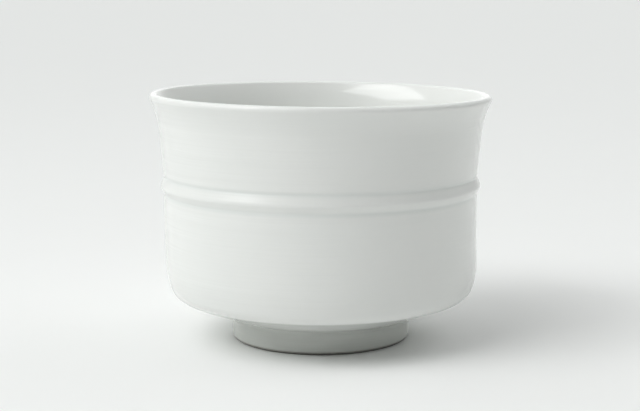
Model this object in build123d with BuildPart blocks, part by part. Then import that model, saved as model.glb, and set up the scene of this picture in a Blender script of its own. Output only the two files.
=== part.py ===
from build123d import *
import os
from math import cos, radians, sin, tan

# A handmade porcelain matcha bowl: straight sides, a sharp hip, a flared lip, a raised band
# round the waist and a low foot ring. Millimetres, +Z up, origin at the centre of the foot's
# bearing face. Every section is drawn as radius across and height up, then turned about Z.

# Driving dimensions of the finished bowl
rim_radius = 60.0
height = 87.0
glaze = 0.4

# Clay lip: a full round at the end of the flare
lip_round = 1.05
lip_tilt = radians(27.0)
lip_fullness = 0.999
lip_centre_radius = rim_radius - glaze - lip_round
lip_centre_height = height - glaze - lip_round

# Clay outside
wall_radius = 54.95
base_height = 8.87
base_radius = 33.0
underside_slope = radians(21.0)
hip_slope = radians(72.0)
hip_corner_radius = 52.64
hip_round = 5.7
hip_blend = 29.0
lean_height = 60.1
lean_angle = radians(5.5)
lean_round = 60.0
flare_height = 79.9
flare_round = 30.0

# Clay inside
well_dip = 0.1
well_depth = 0.75
well_radius = 15.6
well_rim_radius = 17.2
well_round = 3.5
floor_height = 12.0
floor_edge_radius = 51.6
floor_edge_height = 15.8
floor_round = 14.4
inner_lean_radius = 52.5
inner_flare_radius = 54.55
inner_flare_height = 80.2
inner_flare_round = 32.0

# Foot ring
foot_outer_radius = 31.15
foot_inner_radius = 25.2
foot_outer_flare = 0.2
foot_inner_flare = 1.0
foot_edge_round = 0.5
bare_rim = 1.0

# Luting slip
foot_slip_thickness = 0.3
foot_fillet = 1.35
foot_fillet_hollow = 0.2
band_slip_thickness = 0.2

# Raised band, a low ridge with a rounded nose and a bevel of slip along both edges
band_height = 55.0
band_proud = 1.15
band_below = 2.3
band_above = 2.5
band_nose_round = 1.2
band_bevel = 0.5
band_lap = 0.2
band_lap_rise = 0.65

# Parting between the inner and the outer glaze, as depths behind the clay's corners
parting_rise = 1.2
parting_hip_in = 5.6
parting_hip_up = 0.2
parting_wall_in = 1.6
parting_wall_up = 2.5
parting_lean_in = 1.3
parting_flare_in = 1.2

# Corners of the clay that follow from the dimensions above
hip_corner_height = base_height + (hip_corner_radius - base_radius) * tan(underside_slope)
hip_top_height = hip_corner_height + (wall_radius - hip_corner_radius) * tan(hip_slope)
flare_radius = wall_radius + (flare_height - lean_height) * tan(lean_angle)
lip_across = lip_round * cos(lip_tilt)
lip_along = lip_round * sin(lip_tilt)
lip_outer_corner = (
    lip_centre_radius + lip_across + lip_along,
    lip_centre_height - lip_along + lip_across,
)
lip_inner_corner = (
    lip_centre_radius - lip_across + lip_along,
    lip_centre_height + lip_along + lip_across,
)

# Section of the thrown body, from the centre of the tea well round the lip to the base
with BuildSketch(Plane.XZ) as body_section:
    with BuildLine():
        body_outline = FilletPolyline(
            (0, floor_height - well_dip),
            (well_radius, floor_height),
            (well_rim_radius, floor_height + well_depth),
            (floor_edge_radius, floor_edge_height),
            (inner_lean_radius, lean_height),
            (inner_flare_radius, inner_flare_height),
            lip_inner_corner,
            lip_outer_corner,
            (flare_radius, flare_height),
            (wall_radius, lean_height),
            (wall_radius, hip_top_height),
            (hip_corner_radius, hip_corner_height),
            (base_radius, base_height),
            (0, base_height),
            radius=[
                well_round,
                well_round,
                floor_round,
                lean_round,
                inner_flare_round,
                lip_round * lip_fullness,
                lip_round * lip_fullness,
                flare_round,
                lean_round,
                hip_blend,
                hip_round,
                0,
            ],
        )
        Line(body_outline @ 1, body_outline @ 0)
    make_face()

# Section of the foot ring, with softened edges where it bears
foot_top = base_height - foot_slip_thickness
with BuildSketch(Plane.XZ) as foot_section:
    with BuildLine():
        foot_outline = FilletPolyline(
            (foot_inner_radius - foot_inner_flare, foot_top),
            (foot_inner_radius, 0),
            (foot_outer_radius, 0),
            (foot_outer_radius + foot_outer_flare, foot_top),
            radius=[foot_edge_round, foot_edge_round],
        )
        Line(foot_outline @ 1, foot_outline @ 0)
    make_face()

# Section of the slip that holds the foot: a thin bed with a hollow fillet at each side
with BuildSketch(Plane.XZ) as foot_slip_section:
    with BuildLine():
        Polyline(
            (foot_inner_radius, foot_top - foot_fillet),
            (foot_outer_radius, foot_top - foot_fillet),
        )
        outer_fillet = SagittaArc(
            (foot_outer_radius, foot_top - foot_fillet),
            (foot_outer_radius + foot_fillet, base_height),
            foot_fillet * foot_fillet_hollow,
        )
        Line(outer_fillet @ 1, (foot_inner_radius - foot_inner_flare - foot_fillet, base_height))
        SagittaArc(
            (foot_inner_radius - foot_inner_flare - foot_fillet, base_height),
            (foot_inner_radius, foot_top - foot_fillet),
            foot_fillet * foot_fillet_hollow,
        )
    make_face()
    add(foot_section.sketch_local, mode=Mode.SUBTRACT)

# Section of the raised band, lying on its slip
band_inside = wall_radius + band_slip_thickness
band_nose = wall_radius + band_proud
lower_run = band_below * (1 - band_slip_thickness / band_proud)
upper_run = band_above * (1 - band_slip_thickness / band_proud)
with BuildSketch(Plane.XZ) as band_section:
    with BuildLine():
        band_outline = FilletPolyline(
            (band_inside, band_height - lower_run),
            (band_nose, band_height),
            (band_inside, band_height + upper_run),
            radius=band_nose_round,
        )
        Line(band_outline @ 1, band_outline @ 0)
    make_face()

# Section of the slip under the band, wiped to a bevel along both edges. It is drawn lapping into
# the band and then cut back to it.
with BuildSketch(Plane.XZ) as band_slip_section:
    with BuildLine():
        Polyline(
            (wall_radius, band_height - band_below - band_bevel),
            (band_inside + band_lap, band_height - lower_run + band_lap_rise),
            (band_inside + band_lap, band_height + upper_run - band_lap_rise),
            (wall_radius, band_height + band_above + band_bevel),
            close=True,
        )
    make_face()
    add(band_section.sketch_local, mode=Mode.SUBTRACT)
    add(body_section.sketch_local, mode=Mode.SUBTRACT)

# All the clay and slip together, and the coat of glaze that follows its surface
with BuildSketch(Plane.XZ) as clay_section:
    add(body_section.sketch_local)
    add(foot_section.sketch_local)
    add(foot_slip_section.sketch_local)
    add(band_section.sketch_local)
    add(band_slip_section.sketch_local)

with BuildSketch(Plane.XZ) as coat_section:
    add(clay_section.sketch_local)
    offset(amount=glaze, kind=Kind.ARC)
    add(clay_section.sketch_local, mode=Mode.SUBTRACT)
    with Locations((0, bare_rim)):
        Rectangle(2 * rim_radius, 2 * bare_rim, align=(Align.CENTER, Align.MAX), mode=Mode.SUBTRACT)
    Rectangle(rim_radius, 2 * height, align=(Align.MAX, Align.CENTER), mode=Mode.SUBTRACT)

# The parting runs up the middle of the clay to the crest of the lip. Inside it the coat is the
# inner glaze, outside it the outer glaze.
mid_floor = (base_height + floor_height) / 2
with BuildSketch(Plane.XZ) as inner_region:
    with BuildLine():
        Polyline(
            (0, mid_floor),
            (base_radius, mid_floor + parting_rise),
            (floor_edge_radius - parting_hip_in, floor_edge_height + parting_hip_up),
            (wall_radius - parting_wall_in, hip_top_height + parting_wall_up),
            (wall_radius - parting_lean_in, lean_height),
            (flare_radius - parting_flare_in, flare_height),
            (lip_centre_radius, lip_centre_height),
            (lip_centre_radius, height + glaze),
            (0, height + glaze),
            close=True,
        )
    make_face()

with BuildSketch(Plane.XZ) as inner_glaze_section:
    add(coat_section.sketch_local)
    add(inner_region.sketch_local, mode=Mode.INTERSECT)

# Under the foot the coat is a piece of its own, shut in by the foot ring
with BuildSketch(Plane.XZ) as recess_region:
    Rectangle(foot_inner_radius, base_height, align=(Align.MIN, Align.MIN))

with BuildSketch(Plane.XZ) as recess_glaze_section:
    add(coat_section.sketch_local)
    add(recess_region.sketch_local, mode=Mode.INTERSECT)

with BuildSketch(Plane.XZ) as outer_glaze_section:
    add(coat_section.sketch_local)
    add(inner_region.sketch_local, mode=Mode.SUBTRACT)
    add(recess_region.sketch_local, mode=Mode.SUBTRACT)

# The pieces, each one a full turn of its section
with BuildPart() as bowl_body:
    add(body_section.sketch)
    revolve(axis=Axis.Z)
bowl_body.part.label = "bowl_body"

with BuildPart() as foot_ring:
    add(foot_section.sketch)
    revolve(axis=Axis.Z)
foot_ring.part.label = "foot_ring"

with BuildPart() as foot_slip:
    add(foot_slip_section.sketch)
    revolve(axis=Axis.Z)
foot_slip.part.label = "foot_slip"

with BuildPart() as raised_band:
    add(band_section.sketch)
    revolve(axis=Axis.Z)
raised_band.part.label = "raised_band"

with BuildPart() as band_slip:
    add(band_slip_section.sketch)
    revolve(axis=Axis.Z)
band_slip.part.label = "band_slip"

with BuildPart() as inner_glaze:
    add(inner_glaze_section.sketch)
    revolve(axis=Axis.Z)
inner_glaze.part.label = "inner_glaze"

with BuildPart() as outer_glaze:
    add(outer_glaze_section.sketch)
    revolve(axis=Axis.Z)
outer_glaze.part.label = "outer_glaze"

with BuildPart() as foot_recess_glaze:
    add(recess_glaze_section.sketch)
    revolve(axis=Axis.Z)
foot_recess_glaze.part.label = "foot_recess_glaze"

os.makedirs("parts", exist_ok=True)
export_step(bowl_body.part, "parts/bowl_body.step")
export_step(foot_ring.part, "parts/foot_ring.step")
export_step(foot_slip.part, "parts/foot_slip.step")
export_step(raised_band.part, "parts/raised_band.step")
export_step(band_slip.part, "parts/band_slip.step")
export_step(inner_glaze.part, "parts/inner_glaze.step")
export_step(outer_glaze.part, "parts/outer_glaze.step")
export_step(foot_recess_glaze.part, "parts/foot_recess_glaze.step")
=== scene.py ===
"""A thrown porcelain tea bowl: clay body, luted foot ring and its coats of clear glaze.

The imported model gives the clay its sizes. Each operator makes one piece or group of like
pieces, and the stage operator makes the table, the light and the camera.
"""

import math

import bmesh
import bpy
from bpy.props import FloatProperty, FloatVectorProperty, PointerProperty
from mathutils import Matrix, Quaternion, Vector


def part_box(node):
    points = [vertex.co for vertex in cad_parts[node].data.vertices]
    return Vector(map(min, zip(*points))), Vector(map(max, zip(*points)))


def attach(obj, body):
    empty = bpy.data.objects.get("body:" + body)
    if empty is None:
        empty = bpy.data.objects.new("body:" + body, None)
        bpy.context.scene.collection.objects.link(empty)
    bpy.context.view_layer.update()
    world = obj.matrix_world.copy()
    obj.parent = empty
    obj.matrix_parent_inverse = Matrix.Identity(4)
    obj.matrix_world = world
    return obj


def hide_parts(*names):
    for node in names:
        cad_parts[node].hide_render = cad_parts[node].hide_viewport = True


bl_info = {
    "name": "Tea Bowl",
    "version": (1, 0, 0),
    "blender": (4, 5, 0),
    "location": "View3D > Sidebar > Tea Bowl",
    "description": "Builds a thrown porcelain tea bowl with its glaze, and a table to stand it on",
    "category": "Add Mesh",
}

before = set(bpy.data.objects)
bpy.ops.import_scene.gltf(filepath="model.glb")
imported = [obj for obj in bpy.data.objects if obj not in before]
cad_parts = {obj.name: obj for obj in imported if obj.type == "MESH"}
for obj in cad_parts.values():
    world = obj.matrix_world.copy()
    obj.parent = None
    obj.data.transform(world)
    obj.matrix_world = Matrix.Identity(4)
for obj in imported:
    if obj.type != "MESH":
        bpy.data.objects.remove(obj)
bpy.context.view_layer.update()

MM = 0.001

glaze_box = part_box("outer_glaze")
body_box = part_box("bowl_body")
foot_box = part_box("foot_ring")
band_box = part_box("raised_band")

# A full turn of a profile, and how closely its straight runs and its roundings are divided
TURN_STEPS = 200
WALL_SPACING = 0.85 * MM
PLAIN_SPACING = 2.0 * MM
ARC_SPACING = 0.5 * MM
FINEST_ARC_TURN = math.radians(5.0)
MOST_ARC_STEPS = 40
SAME_POINT = 0.001 * MM
SHARP_EDGE = math.radians(35.0)


# ---------------------------------------------------------------- sizes and colours


def length(name, description, default):
    """A size in metres that a user may change."""
    return FloatProperty(
        name=name, description=description, default=default, unit="LENGTH", subtype="DISTANCE"
    )


def angle(name, description, default):
    """An angle that a user may change, given in degrees."""
    return FloatProperty(
        name=name, description=description, default=math.radians(default), subtype="ANGLE"
    )


def colour(name, description, default):
    """A scene-linear colour that a user may change."""
    return FloatVectorProperty(
        name=name, description=description, default=default, size=3, min=0.0, max=1.0, subtype="COLOR"
    )


class TeaBowlSizes(bpy.types.PropertyGroup):
    """Sizes of the clay and the glaze."""

    rim_radius: length("Rim radius", "Outside of the glazed lip", glaze_box[1].x)
    rim_height: length("Rim height", "Top of the glazed lip above the table", glaze_box[1].z)
    glaze_coat: length("Glaze", "Thickness of each coat", glaze_box[1].x - body_box[1].x)
    lip_round: length("Lip rounding", "Radius of the clay lip's full round", 1.05 * MM)
    lip_flare: angle("Lip flare", "Lean of the lip away from upright", 27.0)
    flare_height: length("Flare height", "Where the wall turns out to the lip", 79.9 * MM)
    flare_round: length("Flare rounding", "Radius of that turn", 30.0 * MM)
    wall_radius: length("Wall radius", "Outside of the clay's upright wall", 54.95 * MM)
    lean_height: length("Lean height", "Where the upright wall starts to lean out", 60.1 * MM)
    lean_round: length("Lean rounding", "Radius where the wall starts to lean out", 60.0 * MM)
    lean: angle("Lean", "Lean of the wall above the band", 5.5)
    hip_radius: length("Hip radius", "Corner where the underside turns up", 52.64 * MM)
    hip_round: length("Hip rounding", "Radius of that corner", 5.7 * MM)
    hip_blend: length("Hip blend", "Radius where the hip runs into the upright wall", 29.0 * MM)
    hip_slope: angle("Hip slope", "Slope of the clay just above the hip", 72.0)
    underside_slope: angle("Underside slope", "Slope from the foot out to the hip", 21.0)
    base_radius: length("Base radius", "Flat of the clay under the bowl", 33.0 * MM)
    base_height: length("Base height", "Underside of the body above the table", body_box[0].z)
    foot_outside: length("Foot outside", "Foot ring's outer radius where it bears", 31.15 * MM)
    foot_inside: length("Foot inside", "Foot ring's inner radius where it bears", 25.2 * MM)
    foot_top: length("Foot top", "Top of the foot ring", foot_box[1].z)
    bare_rim: length("Bare rim", "Unglazed clay at the bottom of the foot", 1.0 * MM)
    band_height: length("Band height", "Nose of the raised band above the table", 55.0 * MM)
    band_nose: length("Band nose", "Outside of the clay band", band_box[1].x)
    inner_flare_radius: length("Inner flare radius", "Inside of the clay at the flare", 54.55 * MM)
    inner_flare_height: length("Inner flare height", "Height of the flare inside", 80.2 * MM)
    inner_flare_round: length("Inner flare rounding", "Radius of the flare inside", 32.0 * MM)
    inner_lean_radius: length("Inner wall radius", "Inside of the clay at the waist", 52.5 * MM)
    floor_edge_radius: length("Floor edge radius", "Corner where the floor turns up", 51.6 * MM)
    floor_edge_rise: length("Floor edge rise", "Height of that corner above the floor", 3.8 * MM)
    floor_round: length("Floor rounding", "Radius of that corner", 14.4 * MM)
    floor_height: length("Floor height", "Inside floor above the table", 12.0 * MM)
    well_rim_radius: length("Well rim radius", "Outside of the tea well's slope", 17.2 * MM)
    well_radius: length("Well radius", "Inside of the tea well's slope", 15.6 * MM)
    well_round: length("Well rounding", "Radius of both corners of that slope", 3.5 * MM)
    well_depth: length("Well depth", "Rise of that slope", 0.75 * MM)
    well_dip: length("Well dip", "How far the well sinks towards its middle", 0.1 * MM)
    ring_depth: length("Throwing rings", "Height of the tallest ring that fingers left", 0.1 * MM)
    rim_dip: length("Rim dip", "How far the rim sinks on one side and lifts on the other", 0.5 * MM)
    hip_height: length("Hip height", "Height of the hip above the table", 21.0 * MM)
    hip_reach: length("Hip reach", "How far up and down the hip's drift is felt", 12.0 * MM)
    hip_drift: length("Hip drift", "How far the hip stands off the axis of the rim", 0.45 * MM)


class TeaBowlFinish(bpy.types.PropertyGroup):
    """Colours and gloss of the clay, slip and glaze."""

    glaze_white: colour("Glaze white", "Clear glaze over white clay", (0.875, 0.885, 0.865))
    # Painted shade: darker, greener glaze in the creases beside the raised band, partly real thicker glaze
    # there
    glaze_pooled_and_shaded: colour("Pooled glaze", "Where the glaze lies thicker", (0.79, 0.82, 0.80))
    # Painted shade: darker glaze under the bowl and on its foot, partly a real greener tint of thicker
    # glaze
    glaze_foot_and_under_shade: colour("Foot glaze", "Glaze gathered under the bowl and on its foot", (0.70, 0.72, 0.685))
    clay_white: colour("Fired clay", "Bare fired porcelain", (0.80, 0.78, 0.74))
    slip_white: colour("Fired slip", "Joining slip", (0.76, 0.74, 0.70))
    glaze_roughness: FloatProperty(
        name="Glaze roughness", description="Softness of the glaze's gloss", default=0.035, min=0.0, max=1.0
    )
    outside_lines: length("Outside lines", "Depth of the turning lines outside", 0.09 * MM)
    inside_lines: length("Inside lines", "Depth of the turning lines inside", 0.01 * MM)
    clay_roughness: FloatProperty(
        name="Clay roughness", description="Softness of the bare clay", default=0.75, min=0.0, max=1.0
    )


class TeaBowlStage(bpy.types.PropertyGroup):
    """The table, light and camera."""

    table_white: colour("Table white", "Colour of the table", (0.90, 0.905, 0.90))
    key_power: FloatProperty(
        name="Key power",
        description="Power of the lamp over the near side",
        default=1.4,
        min=0.0,
        unit="POWER",
    )


# ---------------------------------------------------------------- turning clay


def draw_run(mesh, pen, goal, spacing):
    """Draws a straight run from the pen to a point, divided to the spacing. Returns the new pen."""
    way = goal - pen.co
    steps = max(1, math.ceil(way.length / spacing))
    run = bmesh.ops.spin(mesh, geom=[pen], dvec=way / steps, axis=(0.0, 1.0, 0.0), steps=steps)
    return run["geom_last"][0]


def draw_outline(mesh, line, spacing):
    """Draws an outline across the XZ plane, with each corner rounded to its own radius.

    The line is a list of (radius, height, rounding).
    """
    points = [Vector((radius, 0.0, height)) for radius, height, rounding in line]
    pen = mesh.verts.new(points[0])
    for place in range(1, len(line) - 1):
        rounding = line[place][2]
        came = (points[place] - points[place - 1]).normalized()
        goes = (points[place + 1] - points[place]).normalized()
        turn = came.angle(goes)
        pen = draw_run(mesh, pen, points[place] - came * rounding * math.tan(turn / 2), spacing)
        if rounding:
            axis = came.cross(goes).normalized()
            steps = math.ceil(max(rounding * turn / ARC_SPACING, turn / FINEST_ARC_TURN))
            rounded = bmesh.ops.spin(
                mesh,
                geom=[pen],
                cent=pen.co + axis.cross(came) * rounding,
                axis=axis,
                angle=turn,
                steps=min(steps, MOST_ARC_STEPS),
                use_merge=False,
            )
            pen = rounded["geom_last"][0]
    draw_run(mesh, pen, points[-1], spacing)


def turned(line, spacing):
    """A mesh of the outline turned once round the bowl's axis, with its faces made consistent."""
    mesh = bmesh.new()
    draw_outline(mesh, line, spacing)
    bmesh.ops.remove_doubles(mesh, verts=mesh.verts[:], dist=SAME_POINT)
    bmesh.ops.spin(
        mesh,
        geom=mesh.verts[:] + mesh.edges[:],
        cent=(0.0, 0.0, 0.0),
        axis=(0.0, 0.0, 1.0),
        angle=math.tau,
        steps=TURN_STEPS,
        use_merge=True,
    )
    bmesh.ops.remove_doubles(mesh, verts=mesh.verts[:], dist=SAME_POINT)
    bmesh.ops.recalc_face_normals(mesh, faces=mesh.faces[:])
    return mesh


def coated(line, coat):
    """The outline moved out by a coat's thickness, towards the air on its right-hand side."""
    flat = [Vector((radius, height)) for radius, height, rounding in line]
    moved = []
    for place, (radius, height, rounding) in enumerate(line):
        came = (flat[place] - flat[max(place - 1, 0)]).normalized() if place else None
        goes = (flat[place + 1] - flat[place]).normalized() if place + 1 < len(flat) else came
        came = came or goes
        out = Vector((came.y + goes.y, -came.x - goes.x)) / (1.0 + came.dot(goes))
        turn = came.cross(goes)
        if rounding:
            rounding += coat if turn > 0 else -coat
        moved.append((radius + out.x * coat, height + out.y * coat, rounding))
    return moved


def finish_piece(mesh, name, material, slot, *replaced):
    """Puts a finished mesh in the scene as a piece that rides with the bowl."""
    for face in mesh.faces:
        face.smooth = True
    for edge in mesh.edges:
        edge.smooth = edge.calc_face_angle(0.0) < SHARP_EDGE
    data = bpy.data.meshes.new(name)
    mesh.to_mesh(data)
    mesh.free()
    piece = bpy.data.objects.new(name, data)
    bpy.context.scene.collection.objects.link(piece)
    data.materials.append(material)
    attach(piece, "root")
    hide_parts(*replaced)


# Throwing rings up the wall: (height, half width, share of the ring depth)
RINGS = (
    (29.8, 1.6, 0.30),
    (35.5, 2.2, 0.20),
    (41.2, 1.5, 0.35),
    (47.2, 1.3, 0.80),
    (49.6, 1.2, -0.35),
    (62.6, 1.2, 0.55),
    (66.4, 1.0, -0.25),
    (69.2, 1.1, 0.40),
    (71.6, 0.9, -0.25),
    (75.4, 1.3, 0.55),
    (77.6, 1.0, -0.45),
)
# Past this many half widths a ring is no longer felt
RING_REACH = 3.0
# The rings are on the wall only, outside this share of its radius
WALL_SHARE = 0.8


def hand_thrown(mesh, sizes):
    """Gives a turned piece what hands and the kiln leave: faint rings and a rim that dips."""
    for vert in mesh.verts:
        x, y, z = vert.co
        radius = math.hypot(x, y)
        if radius > WALL_SHARE * sizes.wall_radius:
            swell = 0.0
            for height, spread, share in RINGS:
                reach = (z / MM - height) / spread
                if abs(reach) < RING_REACH:
                    swell += share * math.exp(-reach * reach)
            swell *= sizes.ring_depth / radius
            vert.co.x += x * swell
            vert.co.y += y * swell
        above = (z - sizes.lean_height) / (sizes.rim_height - sizes.lean_height)
        above = min(max(above, 0.0), 1.0)
        eased = above * above * (3.0 - 2.0 * above)
        vert.co.z -= sizes.rim_dip * eased * x / sizes.rim_radius
        off_hip = (z - sizes.hip_height) / sizes.hip_reach
        vert.co.x += sizes.hip_drift * math.exp(-off_hip * off_hip)


def coat_of_glaze(line, sizes, spacing, facing):
    """A coat of glaze over an outline of the clay, with its own outer and inner surface.

    Facing is the direction of the air at the end of the coat that is nearest the axis.
    """
    mesh = turned(coated(line, sizes.glaze_coat), spacing)
    innermost = min(mesh.faces, key=lambda face: face.calc_center_median().xy.length)
    if innermost.normal.dot(facing(innermost.calc_center_median())) < 0:
        bmesh.ops.reverse_faces(mesh, faces=mesh.faces[:])
    bmesh.ops.solidify(mesh, geom=mesh.faces[:], thickness=sizes.glaze_coat)
    return mesh


# The rounding of the glaze's lower edge, and how near a point lies to be on it, in coats of glaze
EDGE_ROUNDING = 0.7
ON_THE_EDGE = 0.1
EDGE_SEGMENTS = 4


def soften_lower_edge(mesh, sizes, outer):
    """Rounds the glaze's lower edge, where it stops short of the foot's bearing rim."""
    near = ON_THE_EDGE * sizes.glaze_coat
    low = min(vert.co.z for vert in mesh.verts)
    rim = [vert for vert in mesh.verts if vert.co.z < low + near]
    reach = [vert.co.xy.length for vert in rim]
    side = max(reach) if outer else min(reach)
    chosen = {vert for vert in rim if abs(vert.co.xy.length - side) < near}
    edges = [edge for edge in mesh.edges if set(edge.verts) <= chosen]
    bmesh.ops.bevel(
        mesh,
        geom=edges,
        offset=EDGE_ROUNDING * sizes.glaze_coat,
        offset_type="OFFSET",
        segments=EDGE_SEGMENTS,
        profile=0.5,
        affect="EDGES",
        material=-1,
    )


# ---------------------------------------------------------------- outlines of the clay

# A full round just short of closing, so that a straight run is left between its corners
LIP_FULLNESS = 0.999

# The foot ring: how far its sides flare from the bearing face up, and its edges' roundings
FOOT_OUTER_FLARE = 0.2 * MM
FOOT_INNER_FLARE = 1.0 * MM
FOOT_OUTER_EDGE = 0.8 * MM
FOOT_INNER_EDGE = 0.5 * MM

# The glazed side of the foot: its flare at the bare rim and at the top, and the fillet above it
GLAZE_RIM_FLARE = 0.02 * MM
GLAZE_TOP_FLARE = 0.19 * MM
FOOT_FILLET = 2.6 * MM

# The glazed side of the recess: how far in it stands at the top and at the bare rim
RECESS_TOP_IN = 0.95 * MM
RECESS_RIM_IN = 0.12 * MM
RECESS_FILLET = 1.7 * MM

# The ridge over the raised band: (height from the nose, distance out, rounding). The nose is
# measured out from the clay band, and the others from the upright wall.
RIDGE_FOOT = (-2.45 * MM, 0.0, 2.2 * MM)
RIDGE_NOSE = (0.0, 0.131 * MM, 1.2 * MM)
RIDGE_CREASE = (3.35 * MM, -0.15 * MM, 1.5 * MM)
RIDGE_SHOULDER = (4.45 * MM, 0.10 * MM, 3.0 * MM)

# Where the upright wall starts to lean, outside: (height above the lean, distance out, rounding)
LEAN_START = (1.4 * MM, 0.20 * MM, 20.0 * MM)


def lip_outline(sizes):
    """The lip's corners: outside of the flare, outer and inner corner of the round, crest."""
    round_ = sizes.lip_round
    full = round_ * LIP_FULLNESS
    centre = sizes.rim_radius - sizes.glaze_coat - round_
    top = sizes.rim_height - sizes.glaze_coat
    edge = centre + round_
    shoulder = top - round_ - round_ * math.tan(sizes.lip_flare / 2)
    back = round_ * math.tan((math.pi / 2 - sizes.lip_flare) / 2)
    return {
        "crest": (centre, top, 0.0),
        "shoulder": (edge, shoulder, full),
        "corner": (edge, top, full),
        "back": (centre - back, top, full),
    }


def corner(radius, height, shape):
    """An outline's corner, from a radius, a height and a shape of (rise, distance out, rounding)."""
    rise, out, rounding = shape
    return (radius + out, height + rise, rounding)


def flare_radius(sizes):
    """Outside of the clay's wall where it turns out to the lip."""
    return sizes.wall_radius + (sizes.flare_height - sizes.lean_height) * math.tan(sizes.lean)


def outside_outline(sizes):
    """The clay's outside from the bare rim of the foot up to the crest of the lip."""
    hip_height = sizes.base_height + (sizes.hip_radius - sizes.base_radius) * math.tan(
        sizes.underside_slope
    )
    hip_top = hip_height + (sizes.wall_radius - sizes.hip_radius) * math.tan(sizes.hip_slope)
    foot_side = sizes.foot_outside + GLAZE_TOP_FLARE
    junction = sizes.base_height - (sizes.base_radius - foot_side) * math.tan(sizes.underside_slope)
    lip = lip_outline(sizes)
    return [
        (sizes.foot_outside + GLAZE_RIM_FLARE, sizes.bare_rim, 0.0),
        (foot_side, junction, FOOT_FILLET),
        (sizes.hip_radius, hip_height, sizes.hip_round),
        (sizes.wall_radius, hip_top, sizes.hip_blend),
        corner(sizes.wall_radius, sizes.band_height, RIDGE_FOOT),
        corner(sizes.band_nose, sizes.band_height, RIDGE_NOSE),
        corner(sizes.wall_radius, sizes.band_height, RIDGE_CREASE),
        corner(sizes.wall_radius, sizes.band_height, RIDGE_SHOULDER),
        corner(sizes.wall_radius, sizes.lean_height, LEAN_START),
        (flare_radius(sizes), sizes.flare_height, sizes.flare_round),
        lip["shoulder"],
        lip["corner"],
        lip["crest"],
    ]


def inside_outline(sizes):
    """The clay's inside from the crest of the lip down to the middle of the tea well."""
    lip = lip_outline(sizes)
    floor = sizes.floor_height
    return [
        lip["crest"],
        lip["back"],
        (sizes.inner_flare_radius, sizes.inner_flare_height, sizes.inner_flare_round),
        (sizes.inner_lean_radius, sizes.lean_height, sizes.lean_round),
        (sizes.floor_edge_radius, floor + sizes.floor_edge_rise, sizes.floor_round),
        (sizes.well_rim_radius, floor + sizes.well_depth, sizes.well_round),
        (sizes.well_radius, floor, sizes.well_round),
        (0.0, floor - sizes.well_dip, 0.0),
    ]


def recess_outline(sizes):
    """The clay under the bowl, from the middle of the foot recess down the foot's inner side."""
    return [
        (0.0, sizes.base_height, 0.0),
        (sizes.foot_inside - RECESS_TOP_IN, sizes.base_height, RECESS_FILLET),
        (sizes.foot_inside - RECESS_RIM_IN, sizes.bare_rim, 0.0),
    ]


def body_outline(sizes):
    """The whole thrown body, from the tea well round the lip to the middle of its base."""
    outside = outside_outline(sizes)
    return [
        *reversed(inside_outline(sizes)[1:]),
        outside[-2],
        outside[-3],
        (flare_radius(sizes), sizes.flare_height, sizes.flare_round),
        (sizes.wall_radius, sizes.lean_height, sizes.lean_round),
        outside[3],
        outside[2],
        (sizes.base_radius, sizes.base_height, 0.0),
        (0.0, sizes.base_height, 0.0),
    ]


def foot_outline(sizes):
    """The foot ring, closed, with softened edges where it bears on the table."""
    top_inside = (sizes.foot_inside - FOOT_INNER_FLARE, sizes.foot_top, 0.0)
    return [
        top_inside,
        (sizes.foot_inside, 0.0, FOOT_INNER_EDGE),
        (sizes.foot_outside, 0.0, FOOT_OUTER_EDGE),
        (sizes.foot_outside + FOOT_OUTER_FLARE, sizes.foot_top, 0.0),
        top_inside,
    ]


# ---------------------------------------------------------------- materials


class Nodes:
    """Adds shader nodes to a material or a sky and joins them up."""

    def __init__(self, owner):
        owner.use_nodes = True
        self.tree = owner.node_tree

    def add(self, kind, settings=(), **inputs):
        """Adds a node. An input given as a socket is joined, and anything else is its value."""
        node = self.tree.nodes.new("ShaderNode" + kind)
        for name, value in dict(settings).items():
            setattr(node, name, value)
        for name, value in inputs.items():
            self.put(node, int(name[1:]) if name[0] == "_" else name.replace("_", " "), value)
        return node

    def put(self, node, socket, value):
        """Joins or sets one input of a node."""
        if isinstance(value, bpy.types.NodeSocket):
            self.tree.links.new(value, node.inputs[socket])
        else:
            node.inputs[socket].default_value = value

    def math(self, operation, first, second=0.0, third=0.0):
        """The result of one sum."""
        return self.add("Math", {"operation": operation}, _0=first, _1=second, _2=third).outputs[0]

    def eased(self, value, start, end):
        """A smooth step from 0 at the start to 1 at the end."""
        return self.add(
            "MapRange", {"interpolation_type": "SMOOTHSTEP"}, Value=value, From_Min=start, From_Max=end
        ).outputs[0]

    def between(self, value, low, high):
        """A noise value spread from low to high."""
        return self.add(
            "MapRange", Value=value, From_Min=0.3, From_Max=0.7, To_Min=low, To_Max=high
        ).outputs[0]

    def blend(self, share, first, second):
        """A mix of two colours."""
        node = self.add("Mix", {"data_type": "RGBA"}, _0=share, _6=first, _7=second)
        return node.outputs[2]

    def facing(self, place, direction):
        """How squarely a direction of view meets another, as a cosine."""
        return self.add("VectorMath", {"operation": "DOT_PRODUCT"}, _0=place, _1=direction).outputs["Value"]


def linear(rgb):
    """A colour with its alpha."""
    return (*rgb, 1.0)


# Painted shade in the creases beside the raised band, partly real thicker glaze: their heights from its
# nose, and how far each spreads
POOL_AND_SHADE_CREASES = (-2.9 * MM, 3.5 * MM)
POOL_AND_SHADE_SPREAD = 1.4 * MM
# The share of the darker crease colour at a crease, and the most that clouds in the glaze add anywhere
POOL_AND_SHADE_SHARE = 0.6
CLOUD_SHARE = 0.22
# Heights above the clay's base between which the wall's glaze gives way to the foot's darker glaze: painted
# shade under the bowl, partly a real greener tint
UNDER_SHADE_TOP = 2.2 * MM
UNDER_SHADE_FULL = 0.2 * MM
# How finely the turning lines follow each other across and up the wall, per metre
TURNING_LINES = (14.0, 14.0, 620.0)
RIPPLE_DEPTH = 0.02 * MM
GLAZE_IOR = 1.5


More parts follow.
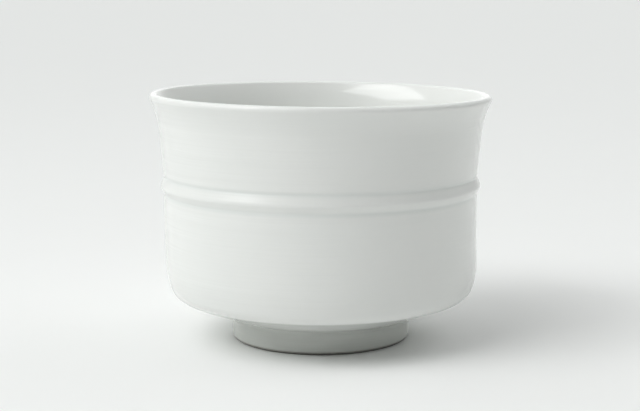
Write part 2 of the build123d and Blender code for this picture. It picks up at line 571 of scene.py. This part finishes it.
def glaze_material(name, sizes, finish, line_depth):
    """Clear glaze over white clay: glossy, faintly uneven, a little cooler where it lies thick, with
    painted shade darkening it in the creases beside the band and towards the base.

    The line depth is how far the turning lines of the clay show through.
    """
    material = bpy.data.materials.new(name)
    nodes = Nodes(material)
    shader = nodes.tree.nodes["Principled BSDF"]
    place = nodes.add("TexCoord").outputs["Object"]
    height = nodes.add("SeparateXYZ", Vector=place).outputs["Z"]
    # Painted shade: the glaze darkens in the creases above and below the band, partly real thicker glaze
    pool_and_shade = 0.0
    for crease_offset in POOL_AND_SHADE_CREASES:
        at = sizes.band_height + crease_offset
        away = nodes.math("ABSOLUTE", nodes.math("SUBTRACT", height, at))
        pool_and_shade = nodes.math("MAXIMUM", pool_and_shade, nodes.eased(away, POOL_AND_SHADE_SPREAD, 0.0))
    # Painted shade: darker glaze towards the base, under the bowl and on the foot, partly a real greener
    # tint
    under = nodes.eased(height, sizes.base_height + UNDER_SHADE_TOP, sizes.base_height + UNDER_SHADE_FULL)
    clouds = nodes.add("TexNoise", Vector=place, Scale=38.0, Detail=3.0, Roughness=0.5)
    cloudy = nodes.between(clouds.outputs[0], 0.0, CLOUD_SHARE)
    share = nodes.math("MULTIPLY_ADD", pool_and_shade, POOL_AND_SHADE_SHARE, cloudy)
    wall = nodes.blend(share, linear(finish.glaze_white), linear(finish.glaze_pooled_and_shaded))
    nodes.put(shader, "Base Color", nodes.blend(under, wall, linear(finish.glaze_foot_and_under_shade)))
    gloss = nodes.add("TexNoise", Vector=place, Scale=120.0, Detail=4.0)
    rough = finish.glaze_roughness
    nodes.put(shader, "Roughness", nodes.between(gloss.outputs[0], 0.8 * rough, 1.25 * rough))
    stretched = nodes.add("Mapping", Vector=place, Scale=TURNING_LINES)
    lines = nodes.add("TexNoise", Vector=stretched.outputs[0], Scale=1.0, Detail=3.0, Roughness=0.6)
    first = nodes.add("Bump", Strength=1.0, Distance=line_depth, Height=lines.outputs[0])
    ripple = nodes.add("TexNoise", Vector=place, Scale=210.0, Detail=1.0)
    second = nodes.add(
        "Bump", Strength=1.0, Distance=RIPPLE_DEPTH, Height=ripple.outputs[0], Normal=first.outputs[0]
    )
    nodes.put(shader, "Normal", second.outputs[0])
    shader.inputs["IOR"].default_value = GLAZE_IOR
    return material


# Painted contact shade darkens the bare clay up to this height above the table, where the foot rests
CONTACT_SHADE_HEIGHT = 1.6 * MM
CONTACT_SHADE_COLOUR = (0.16, 0.155, 0.14, 1.0)
# How fine the grain of the bare clay and slip is, per metre, how deep it is and how dark it gets
CLAY_GRAIN = 1900.0
SLIP_GRAIN = 2600.0
GRAIN_DEPTH = 0.05 * MM
GRAIN_SHADE = 0.86


def fired_material(name, rgb, roughness, grain):
    """Bare fired clay or slip: matt, with a fine grain, and darkened by painted contact shade where it
    rests on the table.
    """
    material = bpy.data.materials.new(name)
    nodes = Nodes(material)
    shader = nodes.tree.nodes["Principled BSDF"]
    place = nodes.add("TexCoord").outputs["Object"]
    fine = nodes.add("TexNoise", Vector=place, Scale=grain, Detail=6.0, Roughness=0.7).outputs[0]
    broad = nodes.add("TexNoise", Vector=place, Scale=grain / 14.0, Detail=2.0).outputs[0]
    share = nodes.math("MULTIPLY", nodes.math("ADD", fine, broad), 0.5)
    darker = linear([GRAIN_SHADE * channel for channel in rgb])
    fresh = nodes.blend(share, linear(rgb), darker)
    height = nodes.add("SeparateXYZ", Vector=place).outputs["Z"]
    # Painted contact shade: the clay goes near black at the foot's bottom edge, where it meets the table
    contact_shade = nodes.eased(height, CONTACT_SHADE_HEIGHT, 0.0)
    nodes.put(shader, "Base Color", nodes.blend(contact_shade, fresh, CONTACT_SHADE_COLOUR))
    nodes.put(shader, "Roughness", nodes.between(fine, roughness - 0.1, roughness + 0.1))
    bump = nodes.add("Bump", Strength=1.0, Distance=GRAIN_DEPTH, Height=fine)
    nodes.put(shader, "Normal", bump.outputs[0])
    return material


# How much the table's white darkens in places
TABLE_SHADE = 0.992


def table_material(stage):
    """A matt white table top with the faintest unevenness."""
    material = bpy.data.materials.new("matt_table")
    nodes = Nodes(material)
    shader = nodes.tree.nodes["Principled BSDF"]
    place = nodes.add("TexCoord").outputs["Object"]
    fine = nodes.add("TexNoise", Vector=place, Scale=30.0, Detail=4.0).outputs[0]
    darker = linear([TABLE_SHADE * channel for channel in stage.table_white])
    nodes.put(shader, "Base Color", nodes.blend(fine, linear(stage.table_white), darker))
    shader.inputs["Roughness"].default_value = 0.9
    shader.inputs["Specular IOR Level"].default_value = 0.0
    return material


def fired(name, rgb, finish, grain):
    """The named bare material, made once and then used by every piece that has it."""
    return bpy.data.materials.get(name) or fired_material(name, rgb, finish.clay_roughness, grain)


def clay(finish):
    """Bare fired porcelain."""
    return fired("bare_porcelain", finish.clay_white, finish, CLAY_GRAIN)


def slip(finish):
    """Bare fired joining slip."""
    return fired("bare_slip", finish.slip_white, finish, SLIP_GRAIN)


# ---------------------------------------------------------------- operators


class BOWL_OT_body(bpy.types.Operator):
    """Turns the thrown clay body"""

    bl_idname = "tea_bowl.body"
    bl_label = "Thrown Body"

    def execute(self, context):
        scene = context.scene
        mesh = turned(body_outline(scene.bowl_sizes), PLAIN_SPACING)
        hand_thrown(mesh, scene.bowl_sizes)
        finish_piece(mesh, "thrown_body", clay(scene.bowl_finish), "porcelain_clay", "bowl_body")
        return {"FINISHED"}


class BOWL_OT_foot(bpy.types.Operator):
    """Turns the foot ring, whose bearing rim stays bare"""

    bl_idname = "tea_bowl.foot"
    bl_label = "Foot Ring"

    def execute(self, context):
        scene = context.scene
        mesh = turned(foot_outline(scene.bowl_sizes), PLAIN_SPACING)
        finish_piece(mesh, "turned_foot", clay(scene.bowl_finish), "porcelain_clay", "foot_ring")
        return {"FINISHED"}


class BOWL_OT_luting(bpy.types.Operator):
    """Gives the raised band and the joining slip their fired finish"""

    bl_idname = "tea_bowl.luting"
    bl_label = "Band and Slip"

    def execute(self, context):
        finish = context.scene.bowl_finish
        for name, material in (
            ("raised_band", clay(finish)),
            ("band_slip", slip(finish)),
            ("foot_slip", slip(finish)),
        ):
            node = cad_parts[name]
            node.data.materials.clear()
            node.data.materials.append(material)
        return {"FINISHED"}


class BOWL_OT_glaze(bpy.types.Operator):
    """Lays the three coats of glaze: outside, inside and under the foot"""

    bl_idname = "tea_bowl.glaze"
    bl_label = "Glaze"

    def execute(self, context):
        scene = context.scene
        sizes = scene.bowl_sizes
        finish = scene.bowl_finish
        wall = glaze_material("glaze_outside", sizes, finish, finish.outside_lines)
        smooth = glaze_material("glaze_inside", sizes, finish, finish.inside_lines)

        outside = coat_of_glaze(
            outside_outline(sizes), sizes, WALL_SPACING, lambda at: Vector((at.x, at.y, 0.0))
        )
        soften_lower_edge(outside, sizes, outer=True)
        hand_thrown(outside, sizes)
        finish_piece(outside, "outside_glaze", wall, "clear_glaze", "outer_glaze")

        inside = coat_of_glaze(
            inside_outline(sizes), sizes, PLAIN_SPACING, lambda at: Vector((0.0, 0.0, 1.0))
        )
        hand_thrown(inside, sizes)
        finish_piece(inside, "inside_glaze", smooth, "clear_glaze", "inner_glaze")

        recess = coat_of_glaze(
            recess_outline(sizes), sizes, PLAIN_SPACING, lambda at: Vector((0.0, 0.0, -1.0))
        )
        soften_lower_edge(recess, sizes, outer=False)
        finish_piece(recess, "recess_glaze", wall, "clear_glaze", "foot_recess_glaze")
        return {"FINISHED"}


def towards(bearing, lift):
    """The direction at a bearing, counterclockwise from +X, and a lift above the table, in degrees."""
    across = math.cos(math.radians(lift))
    return Vector(
        (
            math.cos(math.radians(bearing)) * across,
            math.sin(math.radians(bearing)) * across,
            math.sin(math.radians(lift)),
        )
    )


# Soft light from all round: (bearing, lift, sharpness, strength)
SKY_LOBES = (
    (45.0, 12.0, 8.0, 0.4),  # far wall, to the right
    (90.0, 12.0, 8.0, 1.2),  # far wall
    (135.0, 12.0, 8.0, 0.4),  # far wall, to the left
    (22.0, 45.0, 8.0, 1.3),  # above, right
    (142.0, 45.0, 8.0, 0.8),  # above, behind to the left
    (202.0, 45.0, 8.0, 1.5),  # above, left
    (322.0, 45.0, 8.0, 0.3),  # above, near to the right
    (270.0, 80.0, 30.0, 0.5),  # overhead
)
SKY_COLOUR = (0.985, 1.0, 0.99, 1.0)
# The window to one side, seen at a slant: its bearing and lift in degrees, and its strength
WINDOW = (210.5, 39.0, 3.6)
# Its two pairs of edges: (turn of the line square to the pair, half the gap between them)
WINDOW_EDGES = ((86.0, 0.22), (-52.0, 0.225))
EDGE_SOFTNESS = 0.02


def make_sky(scene):
    """Lights the stage with smooth pale light, and with one large window to the side."""
    world = bpy.data.worlds.new("soft_daylight")
    scene.world = world
    nodes = Nodes(world)
    background = nodes.tree.nodes["Background"]
    place = nodes.add("TexCoord").outputs["Generated"]

    bearing, lift, total = WINDOW
    ahead = towards(bearing, lift)
    across = towards(bearing + 90.0, 0.0)
    depth = nodes.math("MAXIMUM", nodes.facing(place, ahead), 0.001)
    for turn, half in WINDOW_EDGES:
        side = Quaternion(ahead, math.radians(turn)) @ across
        away = nodes.math("ABSOLUTE", nodes.math("DIVIDE", nodes.facing(place, side), depth))
        inside = nodes.eased(away, half + EDGE_SOFTNESS, half - EDGE_SOFTNESS)
        total = nodes.math("MULTIPLY", inside, total)
    for bearing, lift, sharpness, strength in SKY_LOBES:
        near = nodes.math("MAXIMUM", nodes.facing(place, towards(bearing, lift)), 0.0001)
        lobe = nodes.math("POWER", near, sharpness)
        total = nodes.math("MULTIPLY_ADD", lobe, strength, total)
    background.inputs["Color"].default_value = SKY_COLOUR
    nodes.put(background, "Strength", total)


TABLE_RADIUS = 14.0
TABLE_SIDES = 96
LAMP_SIZE = 0.6
LAMP_PLACE = Vector((-0.4, -0.3, 0.9))
LAMP_AIM = Vector((-0.2, -0.2, 0.0))
# A long lens, a little above the rim and looking slightly down
LENS = 81.56
FILM_WIDTH = 36.0
EYE_PLACE = (-0.0002, -0.5105, 0.12585)
EYE_DIP = math.radians(8.8)


class BOWL_OT_stage(bpy.types.Operator):
    """Sets up the pale table, the soft light and the camera"""

    bl_idname = "tea_bowl.stage"
    bl_label = "Stage"

    def execute(self, context):
        scene = context.scene
        stage = scene.bowl_stage

        mesh = bmesh.new()
        bmesh.ops.create_circle(mesh, cap_ends=True, segments=TABLE_SIDES, radius=TABLE_RADIUS)
        data = bpy.data.meshes.new("table")
        mesh.to_mesh(data)
        mesh.free()
        table = bpy.data.objects.new("table", data)
        scene.collection.objects.link(table)
        data.materials.append(table_material(stage))

        make_sky(scene)

        lamp = bpy.data.lights.new("side_lamp", "AREA")
        lamp.shape = "DISK"
        lamp.size = LAMP_SIZE
        lamp.energy = stage.key_power
        side_lamp = bpy.data.objects.new("side_lamp", lamp)
        scene.collection.objects.link(side_lamp)
        side_lamp.location = LAMP_PLACE
        aim = LAMP_AIM - LAMP_PLACE
        side_lamp.rotation_euler = aim.to_track_quat("-Z", "Y").to_euler()

        eye = bpy.data.cameras.new("camera")
        eye.lens = LENS
        eye.sensor_width = FILM_WIDTH
        camera = bpy.data.objects.new("camera", eye)
        scene.collection.objects.link(camera)
        camera.location = EYE_PLACE
        camera.rotation_euler = (math.pi / 2 - EYE_DIP, 0.0, 0.0)
        scene.camera = camera
        scene.view_settings.view_transform = "Standard"
        return {"FINISHED"}


class BOWL_PT_panel(bpy.types.Panel):
    """Lists the pieces of the bowl and their settings"""

    bl_idname = "BOWL_PT_panel"
    bl_label = "Tea Bowl"
    bl_space_type = "VIEW_3D"
    bl_region_type = "UI"
    bl_category = "Tea Bowl"

    def draw(self, context):
        layout = self.layout
        for operator in OPERATORS:
            layout.operator(operator.bl_idname)
        for title, group in (
            ("Sizes", context.scene.bowl_sizes),
            ("Finish", context.scene.bowl_finish),
            ("Stage", context.scene.bowl_stage),
        ):
            box = layout.box()
            box.label(text=title)
            for setting in group.bl_rna.properties:
                if setting.identifier not in {"rna_type", "name"}:
                    box.prop(group, setting.identifier)


OPERATORS = (BOWL_OT_body, BOWL_OT_foot, BOWL_OT_luting, BOWL_OT_glaze, BOWL_OT_stage)
CLASSES = (TeaBowlSizes, TeaBowlFinish, TeaBowlStage, *OPERATORS, BOWL_PT_panel)


def register():
    """Registers the classes and hangs the settings on the scene."""
    for cls in CLASSES:
        bpy.utils.register_class(cls)
    bpy.types.Scene.bowl_sizes = PointerProperty(type=TeaBowlSizes)
    bpy.types.Scene.bowl_finish = PointerProperty(type=TeaBowlFinish)
    bpy.types.Scene.bowl_stage = PointerProperty(type=TeaBowlStage)


def unregister():
    """Takes the settings and the classes away again."""
    del bpy.types.Scene.bowl_stage
    del bpy.types.Scene.bowl_finish
    del bpy.types.Scene.bowl_sizes
    for cls in reversed(CLASSES):
        bpy.utils.unregister_class(cls)


def main():
    """Makes every piece and the stage."""
    register()
    bpy.ops.tea_bowl.body()
    bpy.ops.tea_bowl.foot()
    bpy.ops.tea_bowl.luting()
    bpy.ops.tea_bowl.glaze()
    bpy.ops.tea_bowl.stage()


if __name__ == "__main__":
    main()
